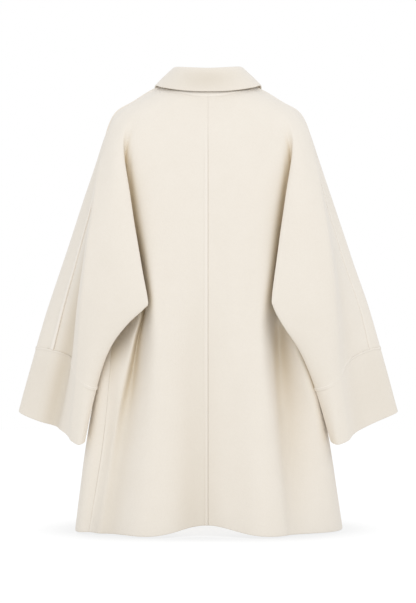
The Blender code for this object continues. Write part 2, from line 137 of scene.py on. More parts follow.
# The same for a front panel
FRONT = {
    "centre": ((3, -FRONT_LAP, 0.110, -0.180), (5, -FRONT_LAP, 0.132, -0.300),
               (7, -FRONT_LAP, 0.140, -0.420), (10, -FRONT_LAP, 0.149, -0.620),
               (13, -FRONT_LAP, 0.160, -0.858)),
    "slope": ((3, 0.038, 0.110, -0.176), (5, 0.044, 0.132, -0.298), (7, 0.046, 0.140, -0.420),
              (10, 0.050, 0.149, -0.620), (13, 0.054, 0.160, -0.860)),
    "ridge": ((3, 0.086, 0.104, -0.164), (5, 0.086, 0.128, -0.292), (7, 0.089, 0.140, -0.420),
              (10, 0.098, 0.156, -0.622), (13, 0.110, 0.174, -0.864)),
    "turn": ((3, 0.122, 0.093, -0.142), (5, 0.117, 0.117, -0.284), (7, 0.120, 0.122, -0.422),
             (10, 0.142, 0.134, -0.624), (13, 0.164, 0.154, -0.864)),
    "lip": ((3, 0.146, 0.078, -0.118), (5, 0.142, 0.094, -0.272), (7, 0.146, 0.092, -0.424),
            (10, 0.182, 0.104, -0.626), (13, 0.214, 0.122, -0.864)),
    "rise": ((3, 0.156, 0.069, -0.110), (5, 0.162, 0.073, -0.260), (7, 0.150, 0.046, -0.426),
             (8, 0.168, 0.048, -0.476), (10, 0.220, 0.056, -0.627), (13, 0.250, 0.068, -0.865)),
    "valley": ((3, 0.163, 0.062, -0.104), (5, 0.176, 0.050, -0.248), (7, 0.187, -0.010, -0.414)),
    "under": ((3, 0.168, 0.057, -0.098), (5, 0.166, 0.082, -0.236), (7, 0.180, 0.076, -0.402),
              (9, 0.212, 0.042, -0.470), (11, 0.236, 0.022, -0.546), (13, 0.262, 0.020, -0.652)),
    "fold_in": ((3, 0.172, 0.054, -0.093), (5, 0.152, 0.098, -0.232), (7, 0.146, 0.106, -0.402),
                (9, 0.206, 0.066, -0.464), (11, 0.234, 0.042, -0.540), (13, 0.264, 0.038, -0.646)),
    "fold_out": ((3, 0.177, 0.050, -0.087), (5, 0.154, 0.111, -0.226), (7, 0.150, 0.120, -0.396),
                 (9, 0.210, 0.080, -0.458), (11, 0.242, 0.056, -0.534), (13, 0.272, 0.050, -0.640)),
    "face": ((3, 0.185, 0.040, -0.076), (5, 0.192, 0.108, -0.214), (7, 0.202, 0.108, -0.372),
             (9, 0.236, 0.082, -0.444), (11, 0.267, 0.062, -0.526), (13, 0.298, 0.055, -0.634)),
    "crease": ((3, 0.195, 0.025, -0.062), (5, 0.232, 0.072, -0.200), (7, 0.260, 0.070, -0.346),
               (9, 0.286, 0.056, -0.430), (11, 0.312, 0.042, -0.514), (13, 0.346, 0.036, -0.628)),
    "trough": ((1, 0.121, 0.008, -0.003), (2, 0.157, 0.008, -0.027), (3, 0.194, 0.005, -0.052),
               (4, 0.220, 0.009, -0.119), (5, 0.247, 0.012, -0.194), (7, 0.290, 0.010, -0.325),
               (9, 0.321, 0.004, -0.417), (11, 0.346, -0.004, -0.505), (13, 0.381, -0.006, -0.632)),
}
# The shoulder and overarm seam, which rolls farther back on the left sleeve
OVERARM_SEAM = {
    "left": ((1, 0.122, -0.003, 0.006), (2, 0.158, -0.005, -0.017), (3, 0.189, -0.009, -0.040),
             (5, 0.222, -0.034, -0.190), (7, 0.257, -0.048, -0.328), (9, 0.284, -0.050, -0.424),
             (11, 0.306, -0.047, -0.508), (13, 0.342, -0.038, -0.649)),
    "right": ((1, 0.122, -0.003, 0.006), (2, 0.158, -0.005, -0.017), (3, 0.189, -0.009, -0.040),
              (5, 0.228, -0.026, -0.190), (7, 0.268, -0.034, -0.328), (9, 0.300, -0.036, -0.422),
              (11, 0.321, -0.036, -0.507), (13, 0.352, -0.034, -0.645)),
}
# The side seam, which sits farther back on the left, and the underarm seam
SIDE_SEAM = {
    "left": ((7, 0.187, -0.010, -0.414), (8, 0.188, -0.016, -0.454), (9, 0.190, -0.098, -0.518),
             (10, 0.198, -0.102, -0.628), (13, 0.233, -0.100, -0.864)),
    "right": ((7, 0.187, -0.010, -0.414), (8, 0.191, -0.012, -0.466), (9, 0.212, -0.060, -0.542),
              (10, 0.229, -0.052, -0.628), (13, 0.268, -0.010, -0.865)),
}
UNDERARM_SEAM = ((7, 0.187, -0.010, -0.414), (8, 0.211, -0.016, -0.438), (9, 0.229, -0.022, -0.480),
                 (11, 0.246, -0.022, -0.562), (13, 0.266, -0.020, -0.666))
# Lines whose lower ends lie elsewhere on the left, where a pleat comes out under the sleeve
LEFT_BACK = {
    "lip": ((7, 0.1245, -0.094, -0.426), (8, 0.137, -0.088, -0.476), (9, 0.147, -0.096, -0.552),
            (10, 0.157, -0.109, -0.626), (13, 0.188, -0.131, -0.864)),
    "rise": ((7, 0.135, -0.110, -0.428), (8, 0.146, -0.114, -0.476), (9, 0.159, -0.119, -0.552),
             (10, 0.175, -0.119, -0.627), (13, 0.214, -0.126, -0.864)),
    "under": ((9, 0.206, -0.100, -0.488), (11, 0.231, -0.090, -0.576), (13, 0.252, -0.088, -0.680)),
    "fold_in": ((6, 0.132, -0.146, -0.350), (7, 0.1165, -0.151, -0.419), (8, 0.150, -0.143, -0.447),
                (9, 0.184, -0.130, -0.488), (11, 0.218, -0.108, -0.580), (13, 0.241, -0.102, -0.686)),
    "fold_out": ((6, 0.132, -0.159, -0.347), (7, 0.1165, -0.163, -0.416), (8, 0.151, -0.157, -0.444),
                 (9, 0.186, -0.143, -0.488), (11, 0.221, -0.124, -0.582), (13, 0.244, -0.118, -0.690)),
    "crease": ((11, 0.258, -0.115, -0.560), (13, 0.270, -0.106, -0.684)),
    "trough": ((11, 0.275, -0.078, -0.528), (13, 0.289, -0.074, -0.668)),
}
LEFT_FRONT = {
    "lip": ((8, 0.162, 0.086, -0.474), (10, 0.206, 0.074, -0.626), (13, 0.246, 0.080, -0.864)),
    "rise": ((8, 0.184, 0.022, -0.474), (9, 0.213, -0.066, -0.545), (10, 0.2295, -0.080, -0.627),
             (13, 0.262, -0.076, -0.865)),
}

# Lines that are pressed sharp: line, first and last row, how sharply on the left and on the right
PRESSED = (
    ("crease", 4, 13, 0.62, 0.36),
    ("fold_out", 5, 9, 0.30, 0.30),
    ("rise", 8, 10, 0.08, 0.00),
)
# Corners of the back folds that are pinched: line, row, how sharply
PINCHED = (
    ("fold_in", 7, 0.5),
    ("fold_out", 7, 0.5),
)

# The collar from the centre back to the centre front, mirrored: share of the way round, then the top of
# its roll and its lower edge, each as outward, forward, height
COLLAR = (
    (0.000, 0.0000, -0.0820, 0.0440, 0.0000, -0.0840, 0.0010),
    (0.125, 0.0295, -0.0750, 0.0460, 0.0380, -0.0785, 0.0025),
    (0.250, 0.0535, -0.0560, 0.0495, 0.0712, -0.0596, 0.0078),
    (0.375, 0.0635, -0.0275, 0.0525, 0.0950, -0.0322, 0.0143),
    (0.500, 0.0655, 0.0010, 0.0520, 0.1050, 0.0010, 0.0188),
    (0.625, 0.0625, 0.0275, 0.0405, 0.1055, 0.0350, 0.0045),
    (0.750, 0.0495, 0.0495, 0.0190, 0.0940, 0.0640, -0.0320),
    (0.875, 0.0240, 0.0620, -0.0090, 0.0720, 0.0850, -0.0720),
    (0.990, 0.0030, 0.0680, -0.0300, 0.0400, 0.0990, -0.1080),
)
ROLL_RADIUS = 0.0065    # of the collar's fold
ROLL_SINK = 0.6         # how far the sides of the fold lie under its top, in radii
FALL_BOW = 0.0012       # how far the fall bows outward
STAND_LEAN = 0.12       # height over the neck edge of the point that the stand leans toward

# Borders of the pieces, and how the cloth is finished there: radius of the rolled edge, then the height
# and width of the felled ridge beside it on the pieces that lap over
BORDERS = {
    "centre back": (0.0005, 0.0011, 0.0070),
    "overarm": (0.0006, 0.0020, 0.0085),
    "underarm": (0.0011, 0.0008, 0.0060),
    "side": (0.0005, 0.0006, 0.0065),
    "cuff seam": (0.0003, 0.0014, 0.0040),
    "neck": (0.0011, 0.0016, 0.0115),
    "front edge": (0.0013, 0.0, 0.005),
    "hem": (0.0013, 0.0, 0.005),
    "cuff edge": (0.0013, 0.0, 0.005),
    "collar edge": (0.0015, 0.0, 0.005),
    "collar foot": (0.0013, 0.0, 0.005),
}
FREE_EDGES = ("front edge", "hem", "cuff edge", "collar edge")
# The pieces whose felled ridge shows at each seam
LAPS_OVER = {
    "centre back": ("back_left",),
    "overarm": ("front_left", "front_right"),
    "underarm": ("back_left", "back_right"),
    "side": ("back_left", "back_right"),
    "cuff seam": ("back_left", "back_right", "front_left", "front_right", "cuff_left", "cuff_right"),
    "neck": ("back_left", "back_right"),
}
FELL_FOOT = 0.0016      # over which a felled ridge falls to the cloth beside it
FULL_FELL = 0.0022      # height of a felled ridge that takes the full painted highlight
# How plainly a seam shows along its length where that changes: by row or line, then that and a share,
# over 1 where its ridge is fuller
SEAM_SHOWS = {
    "centre back": ("row", ((0.4, 0.0), (1.8, 0.15), (3.0, 1.0))),
    "side": ("row", ((9.6, 0.0), (10.8, 1.0))),
    "cuff seam": ("line", ((9.7, 1.0), (10.3, 0.2), (11.0, 0.2), (11.6, 0.8))),
    "neck": ("line", ((0.0, 1.5), (4.5, 1.4), (8.0, 0.4))),
}
ALL_ALONG = ("row", ((0, 1.0),))
# Seams that lie flatter on one piece than on the others, and by how much they show
QUIET = {
    ("overarm", "front_right"): 0.3,
    ("overarm", "back_right"): 0.3,
}
SEAM_CLOSED = 0.25      # share of the rolled edge left where a seam does not show
# Seams drawn up until their faces nearly meet, and how nearly
DRAWN_UP = {"cuff seam": 0.92, "overarm": 0.5}

# Soft folds: the sheets they lie on, each with 1, or -1 where the fold's middle lies beyond its
# centre line; then rows of row, line, width, height, below 0 for a trough, and its share of painted
# shade
FOLDS = (
    # the trough down the centre back, and the ridge right of it
    ({"back_left": 1, "back_right": -1},
     ((6, 0.35, 0.036, 0.000, 0.00), (9, 0.40, 0.036, -0.005, 0.30), (13, 0.40, 0.036, -0.012, 0.70))),
    ({"back_right": 1},
     ((8, 1.80, 0.032, 0.000, 0.00), (10, 1.80, 0.032, 0.002, 0.00), (13, 1.80, 0.034, 0.004, 0.00))),
    # the sunken strip behind the left overarm seam, and the shade along it
    ({"back_left": 1},
     ((4, 11.95, 0.016, 0.000, 0.00), (6.6, 11.95, 0.018, -0.013, 0.75), (9, 12.20, 0.018, -0.017, 0.85),
      (11, 12.35, 0.019, -0.017, 0.85), (13, 12.50, 0.019, -0.016, 0.85))),
    ({"back_left": 1},
     ((4, 12.40, 0.022, 0.000, 0.00), (7, 12.40, 0.022, 0.000, 0.40), (11, 12.30, 0.022, 0.000, 0.40),
      (13, 12.50, 0.030, 0.000, 0.20))),
    # the shade along the bottom of the left pleat
    ({"back_left": 1},
     ((8, 4.00, 0.020, 0.000, 0.10), (10, 4.20, 0.022, -0.002, 0.56), (11.5, 4.10, 0.024, 0.000, 0.56),
      (13, 4.20, 0.030, 0.002, 0.62))),
    # the shade in the valley under the right sleeve
    ({"back_right": 1},
     ((6.8, 3.80, 0.016, 0.000, 0.00), (7.6, 3.85, 0.020, 0.000, 0.70), (9.5, 3.90, 0.030, 0.000, 0.82),
      (13, 3.90, 0.032, -0.001, 0.20))),
    # the shallow strip behind the right overarm seam
    ({"back_right": 1},
     ((5, 12.20, 0.018, 0.000, 0.00), (8, 12.10, 0.020, -0.003, 0.16), (11, 12.10, 0.022, -0.001, 0.16),
      (13, 12.10, 0.026, -0.001, 0.24))),
    # the shade on the outer cuffs
    ({"back_left": 1, "back_right": 1, "front_left": 1, "front_right": 1},
     ((10.7, 13.00, 0.050, 0.000, 0.00), (11.6, 13.00, 0.060, 0.000, 0.30),
      (13, 13.00, 0.060, 0.000, 0.30))),
    # a ridge and a trough down each front
    ({"front_left": 1, "front_right": 1},
     ((8, 2.60, 0.030, 0.000, 0.00), (10, 2.70, 0.034, 0.003, 0.00), (13, 2.80, 0.040, 0.006, 0.00))),
    ({"front_left": 1, "front_right": 1},
     ((9, 1.30, 0.034, 0.000, 0.00), (13, 1.40, 0.040, -0.005, 0.20))),
)
# The same on the collar, by row of its section and station
COLLAR_FOLDS = (
    ({"collar": 1},
     ((3.4, 8, 0.052, 0.000, 0.00), (4.7, 8, 0.052, -0.0026, 0.68), (6.0, 8, 0.052, 0.000, 0.00))),
)
UNEVEN = 0.0006         # slight unevenness of the hanging cloth
UNEVEN_SPAN = 0.075

# The cut of each piece laid flat, along the cloth: width, length and area
CUT = {
    "back_left": (0.72, 0.87, 0.342),
    "back_right": (0.70, 0.87, 0.380),
    "front_left": (0.73, 0.90, 0.433),
    "front_right": (0.71, 0.90, 0.395),
    "cuff_left": (0.55, 0.15, 0.0625),
    "cuff_right": (0.56, 0.15, 0.0617),
    "collar": (0.68, 0.14, 0.064),
}
# What the smaller pieces hang from or lie on
SEWN_TO = {
    "cuff_left": ("back_left", "front_left"),
    "cuff_right": ("back_right", "front_right"),
    "collar": ("back_left", "back_right", "front_left", "front_right"),
}

# Random grain of a surface: its size, its finer layers, and its scale along X, Y and Z
CLOUD = (0.045, 2, (1, 1, 1))       # soft clouds of colour
FLEECE = (0.0045, 3, (1, 1, 1))     # tufts
NAP = (0.0011, 2, (1, 1, 0.4))      # fibres, brushed downward
PAPER_TOOTH = (0.004, 3, (1, 1, 1))
GRAIN_BITE = 0.6        # how strongly the finer layers show
AIR_SAMPLES = 8         # rays that find how far a point is shut in

# Finish of the wool
WOOL_LIGHT = (0.895, 0.822, 0.714, 1)
WOOL_DEEP = (0.82, 0.742, 0.628, 1)
WOOL_FIBRE = (0.93, 0.872, 0.782, 1)
WOOL_SEAM_SHADE = (0.55, 0.475, 0.38, 1)        # painted shade in a seam and at the foot of its ridge
WOOL_RIDGE_HIGHLIGHT = (0.97, 0.905, 0.81, 1)     # painted highlight on a felled ridge
WOOL_PAINTED_FOLD_SHADE = (0.60, 0.478, 0.28, 1)   # painted shade deep in the folds, where the cloth is shut in by its own piece
WOOL_PAINTED_TROUGH_SHADE = (0.60, 0.512, 0.385, 1)     # painted shade in the soft troughs
PAINTED_TROUGH_SHADE_SHARE = 0.40     # share of the painted trough shade where a fold gives its full shade
PAINTED_SHADE_REACH = 0.042   # how near the cloth around a point has to be to darken it with painted shade
PAINTED_FOLD_SHADE_SHARE = 0.18    # share of the painted fold shade where a point is lightly shut in
PAINTED_DEEP_SHADE_SHARE = 0.78       # and how much more where it is deeply shut in
FELL_HIGHLIGHT_SHARE = 0.60       # share of the painted highlight on a full felled ridge
SEAM_SHADE = 0.14       # share of the painted seam shade in a seam
FELL_SHADE = 0.12       # and at the foot of its ridge
SEAM_SHADE_REACH = 0.0014
EVEN_MIX = 0.5          # half and half
NAP_STRENGTH = 0.35
NAP_HEIGHT = 0.0008
WOOL_ROUGHNESS = 0.82
FLEECE_ROUGHNESS = 0.14  # added where the fleece stands up
WOOL_GLOSS = 0.2
WOOL_SHEEN = 0.25
WOOL_SHEEN_ROUGHNESS = 0.55

# Camera
PIXEL = 0.00195         # metres of the coat's back to a pixel of the picture
PICTURE_WIDTH = 416     # pixels, in a picture 603 high
SENSOR_WIDTH = 36       # millimetres
STAND_BACK = 4.2        # how far the camera stands behind the origin
MIDDLE = -0.4124        # height of the picture's middle
BACK_DEPTH = 0.12       # how far the coat's back is taken to lie behind the origin

# Floor of white paper
FLOOR = -0.868          # its height, just under the hem
FLOOR_REACH = 3.2       # from the middle to each side
FLOOR_GLOW = 0.84
FLOOR_BOUNCE = (0.75, 0.75, 0.75, 1)    # of the glow, that the coat gets
FLOOR_SHADE_REACH = 0.12
FLOOR_SHADE_GAIN = 2.4  # how quickly the shade under the coat fades out
PAPER_LIGHT = (0.21, 0.21, 0.205, 1)
PAPER_DEEP = (0.19, 0.19, 0.185, 1)
PAPER_SHADED = (0.02, 0.02, 0.02, 1)
PAPER_ROUGHNESS = 0.95
PAPER_GLOSS = 0.1
WHITE = (1, 1, 1, 1)

# Light
LIGHT_COLOUR = (0.98, 1.0, 1.04, 1)
SKY = 0.855
# Lamps: name, place, aim, size and power
LAMPS = (
    ("key", (1.4, -3.2, 2.0), (0, 0, -0.4), 2.0, 15.5),
    ("front", (-0.3, -3.8, 1.0), (0, 0, -0.4), 2.2, 18),
)


def placed(name, data):
    """A new object in the scene."""
    thing = bpy.data.objects.new(name, data)
    bpy.context.scene.collection.objects.link(thing)
    return thing


def along(keys, row):
    """A smooth line through keys (row, ...), at any row between the first and the last."""
    rows = np.array([key[0] for key in keys], float)
    points = np.array([key[1:] for key in keys], float)
    slopes = np.gradient(points, rows, axis=0)
    i = int(np.clip(np.searchsorted(rows, row) - 1, 0, len(rows) - 2))
    step = rows[i + 1] - rows[i]
    t = (row - rows[i]) / step
    return ((2 * t**3 - 3 * t**2 + 1) * points[i] + (t**3 - 2 * t**2 + t) * step * slopes[i]
            + (3 * t**2 - 2 * t**3) * points[i + 1] + (t**3 - t**2) * step * slopes[i + 1])


def eased(share):
    """From 0 to 1 without a kink at either end."""
    share = np.clip(share, 0, 1)
    return share * share * (3 - 2 * share)


def neck_point(share, front):
    """A point of the neck edge, share of the way from the centre back or front to the shoulder."""
    turn = np.pi / 2 * share
    drop, depth = (NECK_FRONT_DROP, NECK_FRONT) if front else (NECK_BACK_DROP, NECK_BACK)
    height = drop + (NECK_SIDE_RISE - drop) * (1 - np.cos(turn))
    return NECK_HALF_WIDTH * np.sin(turn), depth * np.cos(turn), height


def line_keys(side, front, line):
    """The keys of one line of a panel, from the neck edge down."""
    name = LINES[line]
    start = neck_point(line / OVERARM, front)
    if front and line == 0:
        start = (-FRONT_LAP, *start[1:])
    if name == "overarm":
        return ((NECK_ROW, *start), *OVERARM_SEAM[side])
    keys = (FRONT if front else BACK)[name]
    changed = (LEFT_FRONT if front else LEFT_BACK).get(name) if side == "left" else None
    if changed:
        keys = (*(key for key in keys if key[0] < changed[0][0]), *changed)
    return ((NECK_ROW, *start), *keys)


class Cage:
    """The coarse quads that a cloth surface is smoothed from, and what each one is part of."""

    def __init__(self):
        self.points, self.index, self.faces, self.corners = [], {}, [], []
        self.pieces, self.strips, self.places, self.borders, self.flips = [], [], [], [], []
        self.pressed, self.pinched = {}, {}

    def point(self, key, place):
        """The number of the point with a key, which is made the first time."""
        if key not in self.index:
            self.index[key] = len(self.points)
            self.points.append(place)
        return self.index[key]

    def quad(self, corners, piece, strip, place, borders, flip):
        """Adds a face and what it is part of."""
        offsets = [(0, 0), (0, 1), (1, 1), (1, 0)]
        self.faces.append(corners[::-1] if flip else corners)
        self.corners.append(offsets[::-1] if flip else offsets)
        self.pieces.append(piece)
        self.strips.append(strip)
        self.places.append(place)
        self.borders.append(borders)
        self.flips.append(flip)


def panel_point(cage, side, front, line, row, branch):
    """The cage's point on a line, shared where panels meet."""
    sign = 1 if side == "right" else -1
    owner = (side, front, line)
    keys = None
    if line == VALLEY and row >= UNDERARM_ROW:
        owner = (side, "armpit" if row == UNDERARM_ROW else branch)
        keys = UNDERARM_SEAM if branch == "sleeve" else SIDE_SEAM[side]
    elif line == OVERARM:
        owner = (side, "overarm")
    elif line == 0 and not front:
        owner = ("centre back",)
    x, y, z = along(keys or line_keys(side, front, line), row)
    if front and line <= 1:
        y += LAP_LIFT * sign
    return cage.point((*owner, row), (sign * x, y, z))


def panel_borders(front, branch, line, row):
    """The seams and edges of a panel's cell, by its sides: low line, high line, low row, high row."""
    sleeve, cuff = branch == "sleeve", branch == "sleeve" and row >= CUFF_SEAM_ROW
    found = {}
    if line == 0:
        found["low line"] = "front edge" if front else "centre back"
    if line == VALLEY and sleeve and not cuff:
        found["low line"] = "underarm"
    if line + 1 == VALLEY and row >= UNDERARM_ROW:
        found["high line"] = "side"
    if line + 1 == OVERARM and not cuff:
        found["high line"] = "overarm"
    if row == NECK_ROW:
        found["low row"] = "neck"
    if row == CUFF_SEAM_ROW and sleeve:
        found["low row"] = "cuff seam"
    if row + 1 == CUFF_SEAM_ROW and sleeve:
        found["high row"] = "cuff seam"
    if row + 1 == LAST_ROW:
        found["high row"] = "cuff edge" if sleeve else "hem"
    return found


def panels_cage():
    """The cage of the whole coat but the collar."""
    cage = Cage()
    above, below = range(UNDERARM_ROW), range(UNDERARM_ROW, LAST_ROW)
    spans = [(line, row, "body") for row in above for line in range(OVERARM)]
    spans += [(line, row, "body") for row in below for line in range(VALLEY)]
    spans += [(line, row, "sleeve") for row in below for line in range(VALLEY, OVERARM)]
    for side in ("left", "right"):
        for front in (False, True):
            panel = ("front_" if front else "back_") + side
            for line, row, branch in spans:
                corners = [panel_point(cage, side, front, line + i, row + j, branch)
                           for i, j in ((0, 0), (0, 1), (1, 1), (1, 0))]
                cuff = branch == "sleeve" and row >= CUFF_SEAM_ROW
                cage.quad(corners, "cuff_" + side if cuff else panel, (panel, branch, row), (line, row),
                          panel_borders(front, branch, line, row), (side == "right") == front)
            for name, first, last, left, right in PRESSED:
                line = LINES.index(name)
                ends = [cage.index[side, front, line, row] for row in range(first, last + 1)]
                for pair in zip(ends, ends[1:]):
                    cage.pressed[frozenset(pair)] = left if side == "left" else right
        for name, row, sharpness in PINCHED:
            cage.pinched[cage.index[side, False, LINES.index(name), row]] = sharpness
    return cage


def collar_section(sign, station, points, normals):
    """The collar's face at one station, from its foot at the neck edge over the roll to its edge."""
    share = station[0] * 2
    neck = np.array(neck_point(share, False) if share <= 1 else neck_point(2 - share, True))
    roll, edge = np.array(station[1:4]), np.array(station[4:7])
    for place in (neck, roll, edge):
        place[0] *= sign
    normal = normals[np.argmin(np.linalg.norm(points - neck, axis=1))]
    up = np.array((-neck[0], -neck[1], STAND_LEAN))
    up -= up @ normal * normal
    gap = COLLAR_GAP + LAP_LIFT * max(0, share - 1) ** 2
    foot = neck - CLOTH * normal + gap * up / np.linalg.norm(up)
    out = neck / (NECK_HALF_WIDTH, NECK_FRONT, np.inf)
    out /= np.linalg.norm(out)
    sink = np.array((0, 0, -ROLL_SINK * ROLL_RADIUS))
    inside, outside = roll - out * ROLL_RADIUS + sink, roll + out * ROLL_RADIUS + sink
    bow = FALL_BOW * (out + (0, 0, 1)) / np.sqrt(2)
    return (foot, (foot + inside) / 2, inside, roll, outside, (outside + edge) / 2 + bow, edge)


def collar_cage(points, normals):
    """The cage of the collar, from its left end round the back of the neck to its right end."""
    cage = Cage()
    stations = [(-1, s) for s in COLLAR[:0:-1]] + [(1, s) for s in COLLAR]
    sections = [collar_section(sign, station, points, normals) for sign, station in stations]
    for i, section in enumerate(sections):
        for j, place in enumerate(section):
            cage.point((i, j), place)
    last_station, last_point = len(sections) - 2, len(sections[0]) - 2
    for i in range(last_station + 1):
        for j in range(last_point + 1):
            corners = [cage.index[key] for key in ((i, j), (i, j + 1), (i + 1, j + 1), (i + 1, j))]
            ends = {"low line": i == 0, "high line": i == last_station, "high row": j == last_point}
            borders = {end: "collar edge" for end, there in ends.items() if there}
            if j == 0:
                borders["low row"] = "collar foot"
            cage.quad(corners, "collar", ("collar", "collar", j), (i, j), borders, True)
    return cage


def evaluated(guide):
    """The mesh of an object with its modifiers applied."""
    bpy.context.view_layer.update()
    return bpy.data.meshes.new_from_object(guide.evaluated_get(bpy.context.evaluated_depsgraph_get()))


def read(data, field, width, kind=np.float32):
    """A field of a mesh's elements as an array."""
    values = np.zeros(len(data) * width, kind)
    data.foreach_get(field, values)
    return values.reshape(-1, width) if width > 1 else values


def cage_object(cage):
    """The cage as an object, its cells, pressed lines and pinched corners marked, and its smoothing."""
    mesh = bpy.data.meshes.new("cage")
    mesh.from_pydata(cage.points, [], cage.faces)
    cells = mesh.uv_layers.new(name="place in cell")
    cells.uv.foreach_set("vector", np.array(cage.corners, np.float32).ravel())
    numbers = mesh.attributes.new("cell", "INT", "FACE")
    numbers.data.foreach_set("value", np.arange(len(cage.faces), dtype=np.int32))
    press = mesh.attributes.new("crease_edge", "FLOAT", "EDGE")
    press.data.foreach_set("value", [cage.pressed.get(frozenset(e.vertices), 0) for e in mesh.edges])
    pinch = mesh.attributes.new("crease_vert", "FLOAT", "POINT")
    pinch.data.foreach_set("value", [cage.pinched.get(i, 0) for i in range(len(cage.points))])
    guide = placed("cage", mesh)
    subdivision = guide.modifiers.new("smooth", "SUBSURF")
    subdivision.uv_smooth = "NONE"
    return guide, subdivision


def smooth_surface(cage):
    """Points of the cage's smooth surface, and their numbers on a fine grid over each cage face."""
    guide, subdivision = cage_object(cage)
    subdivision.levels = 1
    aims = np.array(cage.points)
    corners = aims.copy()
    for _ in range(SETTLING):
        tried = evaluated(guide)
        reached = read(tried.vertices, "co", 3)[:len(aims)]
        bpy.data.meshes.remove(tried)
        corners += SETTLE_SHARE * (aims - reached)
        guide.data.vertices.foreach_set("co", corners.astype(np.float32).ravel())
        guide.data.update()
    subdivision.levels = GUIDE_LEVEL
    smooth = evaluated(guide)
    steps = 2 ** GUIDE_LEVEL
    place = np.rint(read(smooth.uv_layers[0].uv, "vector", 2) * steps).astype(int)
    cell = np.repeat(read(smooth.attributes["cell"].data, "value", 1, np.int32), 4)
    grid = np.zeros((len(cage.faces), steps + 1, steps + 1), int)
    grid[cell, place[:, 0], place[:, 1]] = read(smooth.loops, "vertex_index", 1, np.int32)
    points = read(smooth.vertices, "co", 3).astype(float)
    bpy.data.objects.remove(guide)
    bpy.data.meshes.remove(smooth)
    return points, grid


def crowded(low, high):
    """Shares from 0 to 1 across a cell, closer together beside a seam or edge at either end."""
    share = np.linspace(0, 1, CELLS + 1)
    if low and high:
        return np.where(share < 0.5, (2 * share) ** CROWDING / 2, 1 - (2 - 2 * share) ** CROWDING / 2)
    if high:
        return 1 - (1 - share) ** CROWDING
    return share ** CROWDING if low else share


def sampled(grid, shares, axis):
    """A grid of points sampled at shares of the way along one of its axes."""
    at = shares * (grid.shape[axis] - 1)
    first = np.minimum(at.astype(int), grid.shape[axis] - 2)
    rest = (at - first).reshape([-1 if i == axis else 1 for i in range(3)])
    return np.take(grid, first, axis) * (1 - rest) + np.take(grid, first + 1, axis) * rest


def uneven(points):
    """Slight random rise and fall of hanging cloth."""
    return UNEVEN * np.array([noise.noise(Vector(p / UNEVEN_SPAN)) for p in points])


class Cloth:
    """A smooth sheet of cloth as one joined grid of cells over its cage."""

    def __init__(self, cage):
        self.cage = cage
        points, grid = smooth_surface(cage)
        step = (grid.shape[1] - 1) // CELLS
        used, self.grid = np.unique(grid[:, ::step, ::step], return_inverse=True)
        self.grid = self.grid.reshape(len(grid), CELLS + 1, CELLS + 1)
        self.points = np.zeros((len(used), 3))
        self.lines, self.rows = [], []
        self.at = {"row": np.zeros(len(used)), "line": np.zeros(len(used))}
        for cell, borders in enumerate(cage.borders):
            lines = crowded("low line" in borders, "high line" in borders)
            rows = crowded("low row" in borders, "high row" in borders)
            self.points[self.grid[cell]] = sampled(sampled(points[grid[cell]], lines, 0), rows, 1)
            self.lines.append(cage.places[cell][0] + lines)
            self.rows.append(cage.places[cell][1] + rows)
            self.at["row"][self.grid[cell]] = self.rows[-1]
            self.at["line"][self.grid[cell]] = self.lines[-1][:, None]
        g = self.grid
        self.quads = np.stack([g[:, :-1, :-1], g[:, :-1, 1:], g[:, 1:, 1:], g[:, 1:, :-1]], 3)
        flips = np.array(cage.flips)
        self.quads[flips] = self.quads[flips][..., ::-1]

    def normals(self):
        """The outward direction at each point."""
        a, b, c, d = (self.points[self.quads[..., i].ravel()] for i in range(4))
        out = np.cross(c - a, d - b)
        total = np.zeros_like(self.points)
        for i in range(4):
            for axis in range(3):
                total[:, axis] += np.bincount(self.quads[..., i].ravel(), out[:, axis], len(total))
        return total / np.maximum(np.linalg.norm(total, axis=1, keepdims=True), TINY)

    def strips(self):
        """Cells that follow each other along one cage row: name, point numbers, lines and rows."""
        order = {}
        for cell, strip in enumerate(self.cage.strips):
            order.setdefault(strip, []).append(cell)
        for strip, cells in order.items():
            ids = np.concatenate([self.grid[cells[0]][:1]] + [self.grid[c][1:] for c in cells])
            lines = np.concatenate([self.lines[cells[0]][:1]] + [self.lines[c][1:] for c in cells])
            yield strip, ids, lines, self.rows[cells[0]]

    def fold(self, sheets, keys):
        """The height and the shade that one soft fold gives each point."""
        given = np.zeros((len(self.points), 2))
        first, last = keys[0][0], keys[-1][0]
        for (sheet, branch, row), ids, lines, rows in self.strips():
            if sheet not in sheets or row + 1 <= first or row >= last:
                continue
            if row >= UNDERARM_ROW and (branch == "sleeve") != (keys[-1][1] > VALLEY):
                continue
            path = self.points[ids]
            arc = np.concatenate([np.zeros((1, len(rows))),
                                  np.cumsum(np.linalg.norm(np.diff(path, axis=0), axis=2), 0)])
            for j, place in enumerate(rows):
                if first <= place <= last:
                    line, width, *gives = along(keys, place)
                    offset = arc[:, j] - sheets[sheet] * np.interp(line, lines, arc[:, j])
                    given[ids[:, j]] = np.exp(-(offset / width) ** 2)[:, None] * gives
        return given

    def crease(self, folds):
        """Lays soft folds and slight unevenness into the sheet, and gives each point its share of
        painted shade.
        """
        heights, shades = sum(self.fold(sheets, keys) for sheets, keys in folds).T
        self.points += (heights + uneven(self.points))[:, None] * self.normals()
        return np.clip(shades, 0, 1)

    def distances(self, piece):
        """How far each point of a piece is from each of its borders, and the piece's own cells."""
        own = [cell for cell, name in enumerate(self.cage.pieces) if name == piece]
        far = {}
        for cell in own:
            path = self.points[self.grid[cell]]
            for side, border in self.cage.borders[cell].items():
                axis = 0 if side.endswith("line") else 1
                steps = np.linalg.norm(np.diff(path, axis=axis), axis=2)
                start = np.zeros_like(steps.take([0], axis))
                high = side.startswith("high")
                steps = np.flip(steps, axis) if high else steps
                run = np.concatenate([start, np.cumsum(steps, axis)], axis)
                run = np.flip(run, axis) if high else run
                to = far.setdefault(border, np.full(len(self.points), FAR))
                np.minimum.at(to, self.grid[cell].ravel(), run.ravel())
        return far, own


